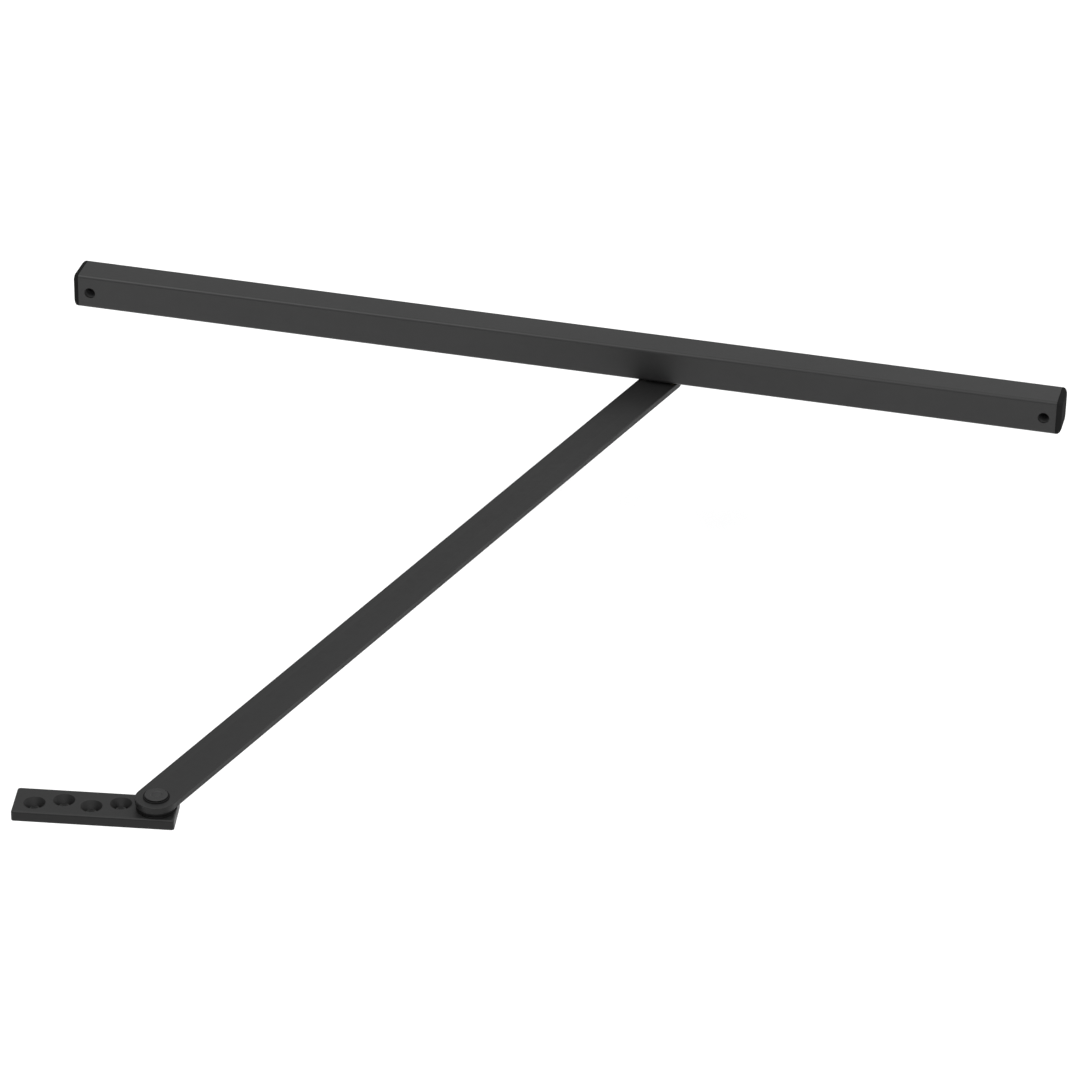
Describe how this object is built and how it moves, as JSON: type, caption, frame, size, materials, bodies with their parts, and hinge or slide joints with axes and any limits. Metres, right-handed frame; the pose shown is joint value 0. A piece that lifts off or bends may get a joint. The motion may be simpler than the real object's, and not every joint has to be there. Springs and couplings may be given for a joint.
{
  "type": "overhead door stop",
  "caption": "Surface overhead door stop: square slide channel with sprung buffer, flat swinging arm and jamb bracket with countersunk holes, satin black.",
  "frame": {"origin": "middle of the channel's back face, the face that lies on the door", "axes": "+X along the channel from the buffered end to the plain end; +Y out of the back face, at the door; +Z away from the arm, so -Z points up at the frame head when it is fitted"},
  "size_m": [0.6218, 0.5593, 0.0365],
  "materials": {
    "black_powder_coat": "satin black powder coat",
    "black_plastic": "fine moulded texture",
    "black_oxide_steel": "black oxide, lightly oiled",
    "black_rubber": "matt moulded rubber",
    "zinc_block": "die cast, dull grey",
    "plated_steel": "bright zinc plate",
    "spring_steel": "dark drawn wire",
    "natural_nylon": "natural nylon",
    "bronze": "sintered bronze"
  },
  "bodies": {
    "track": {"channel": "black_powder_coat", "end_cap_left": "black_plastic", "end_cap_right": "black_plastic", "end_block_left": "black_oxide_steel", "end_block_right": "black_oxide_steel", "set_screws": "black_oxide_steel", "closing_bumper": "black_rubber", "spring_seat": "zinc_block", "seat_pin": "plated_steel"},
    "buffer": {"buffer_rod": "plated_steel", "buffer_nut": "plated_steel", "buffer_head": "natural_nylon", "buffer_pad": "black_rubber", "shock_spring": "spring_steel"},
    "slide": {"slide_block": "zinc_block", "slide_shoe_front": "natural_nylon", "slide_shoe_rear": "natural_nylon", "slide_stud": "plated_steel", "stud_pin": "plated_steel", "slot_sleeve": "bronze", "stud_clip": "black_oxide_steel"},
    "arm": {"arm": "black_powder_coat", "arm_bush_slide": "bronze", "arm_bush_jamb": "bronze", "thrust_washer": "black_plastic", "stud_washer": "plated_steel"},
    "bracket": {"jamb_bracket": "black_powder_coat", "pivot_rivet": "black_powder_coat", "head_washer": "black_plastic", "pivot_washer_upper": "black_plastic", "pivot_spring_washer": "black_oxide_steel", "pivot_washer_lower": "black_oxide_steel"}
  },
  "joints": [
    {"name": "slide_travel", "type": "slide", "parent": "track", "child": "slide", "axis": [1, 0, 0], "range_m": [-0.188, 0.1975]},
    {"name": "buffer_stroke", "type": "slide", "parent": "track", "child": "buffer", "axis": [1, 0, 0], "range_m": [-0.018, 0], "stiffness_N_per_m": 4000, "deforming": ["shock_spring"]},
    {"name": "arm_swing", "type": "hinge", "parent": "slide", "child": "arm", "pos_m": [0.0639, -0.0119, -0.0145], "axis": [0, 0, 1], "range_deg": [-72, 106]},
    {"name": "bracket_swivel", "type": "hinge", "parent": "arm", "child": "bracket", "pos_m": [-0.09723, -0.53568, -0.018], "axis": [0, 0, 1], "continuous": true}
  ]
}
